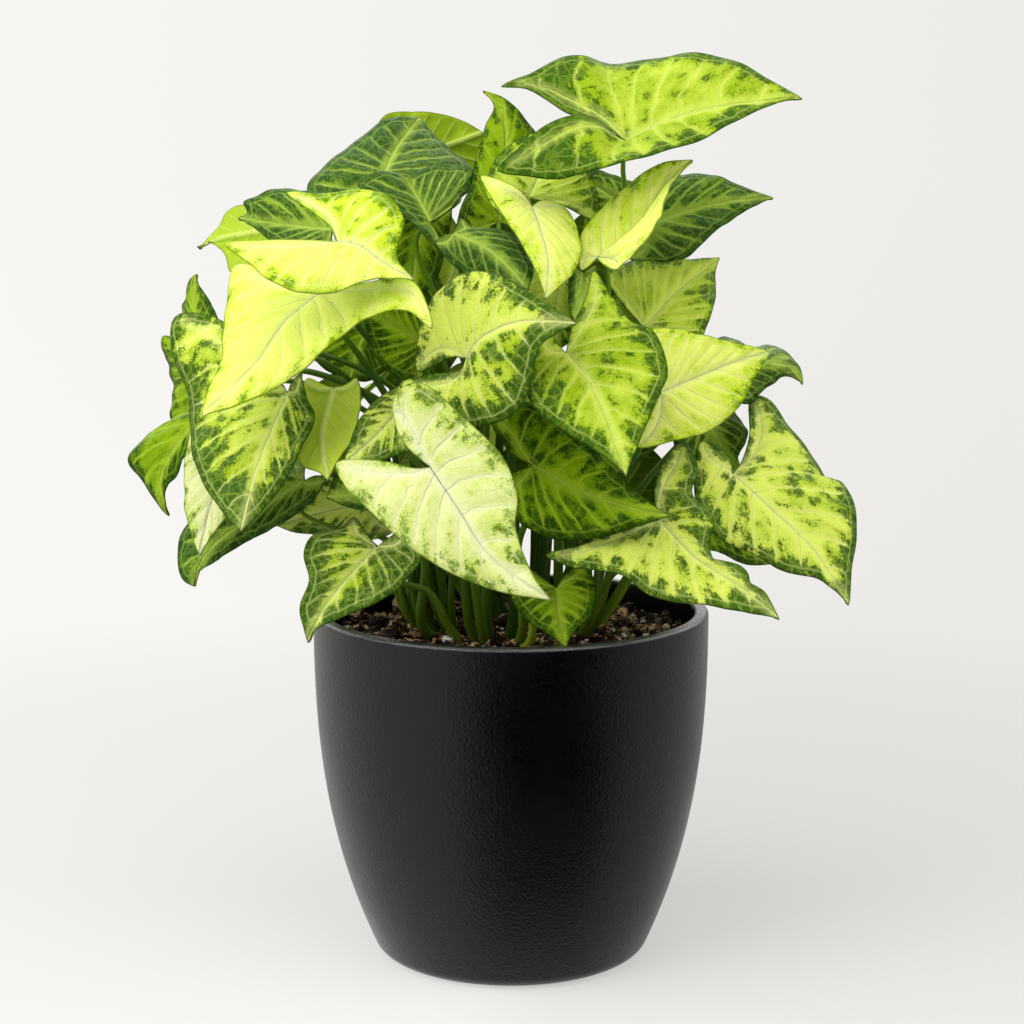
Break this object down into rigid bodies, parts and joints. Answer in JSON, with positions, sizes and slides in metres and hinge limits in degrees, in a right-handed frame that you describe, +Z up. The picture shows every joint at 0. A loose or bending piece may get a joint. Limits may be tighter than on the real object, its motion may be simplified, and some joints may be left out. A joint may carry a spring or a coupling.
{
  "type": "potted arrowhead plant",
  "caption": "Bushy arrowhead vine house plant with mottled lime, cream and dark green arrow-shaped leaves, in a tapered matte black pot.",
  "frame": {"origin": "centre of the pot's flat foot, on the surface that it stands on", "axes": "+Z up along the pot's axis, -Y towards the plant's front, +X to the right as seen from in front"},
  "size_m": [0.2979, 0.2276, 0.3648],
  "materials": {
    "pot": "matte",
    "soil": "matte",
    "stalk": "satin",
    "leaf_cream": "satin",
    "leaf_yellow": "satin",
    "leaf_lime": "satin",
    "leaf_mottled": "satin",
    "leaf_green": "satin",
    "leaf_dark": "satin"
  },
  "bodies": {
    "root": {"pot": "pot", "soil": "soil", "stalks_left": "stalk", "stalks_front": "stalk", "stalks_right": "stalk", "stalks_back": "stalk", "leaf_top_right": "leaf_lime", "leaf_top_centre": "leaf_green", "leaf_top_inner_pale": "leaf_lime", "leaf_centre_top_cream": "leaf_yellow", "leaf_right_upper_yellow": "leaf_yellow", "leaf_right_upper_dark": "leaf_dark", "leaf_top_behind_stalk": "leaf_dark", "leaf_top_left_back": "leaf_dark", "leaf_top_back_lime": "leaf_lime", "leaf_top_left_front": "leaf_dark", "leaf_centre_dark": "leaf_dark", "leaf_left_top_yellow": "leaf_yellow", "leaf_left_top_dark": "leaf_dark", "leaf_left_pale_behind": "leaf_lime", "leaf_left_yellow": "leaf_yellow", "leaf_left_small_upright": "leaf_green", "leaf_left_mottled": "leaf_mottled", "leaf_far_left_hanging": "leaf_green", "leaf_far_left_behind": "leaf_green", "leaf_left_cream": "leaf_cream", "leaf_left_low_dark": "leaf_dark", "leaf_left_inner_lime": "leaf_lime", "leaf_left_behind_stalks": "leaf_green", "leaf_left_inner_green": "leaf_mottled", "leaf_left_inner_dark": "leaf_green", "leaf_left_hidden_dark": "leaf_dark", "leaf_left_low_pale": "leaf_mottled", "leaf_front_left_low": "leaf_mottled", "leaf_front_cream": "leaf_cream", "leaf_centre_mottled": "leaf_mottled", "leaf_centre_right": "leaf_lime", "leaf_centre_low_green": "leaf_green", "leaf_front_low_small": "leaf_green", "leaf_front_right": "leaf_mottled", "leaf_right_pale": "leaf_yellow", "leaf_right_upper_green": "leaf_lime", "leaf_right_small_dark": "leaf_dark", "leaf_right_hanging_dark": "leaf_dark", "leaf_right_mottled": "leaf_mottled", "leaf_right_low_behind": "leaf_green", "leaf_centre_hidden_dark": "leaf_dark", "leaf_centre_hidden_lime": "leaf_lime", "leaf_left_shaded": "leaf_green", "leaf_back_1": "leaf_green", "leaf_back_2": "leaf_mottled", "leaf_back_3": "leaf_green", "leaf_back_4": "leaf_lime", "leaf_back_5": "leaf_mottled", "leaf_back_6": "leaf_lime", "leaf_back_7": "leaf_mottled", "leaf_back_8": "leaf_green", "leaf_back_9": "leaf_lime", "leaf_back_10": "leaf_green", "leaf_back_11": "leaf_mottled"}
  },
  "joints": []
}
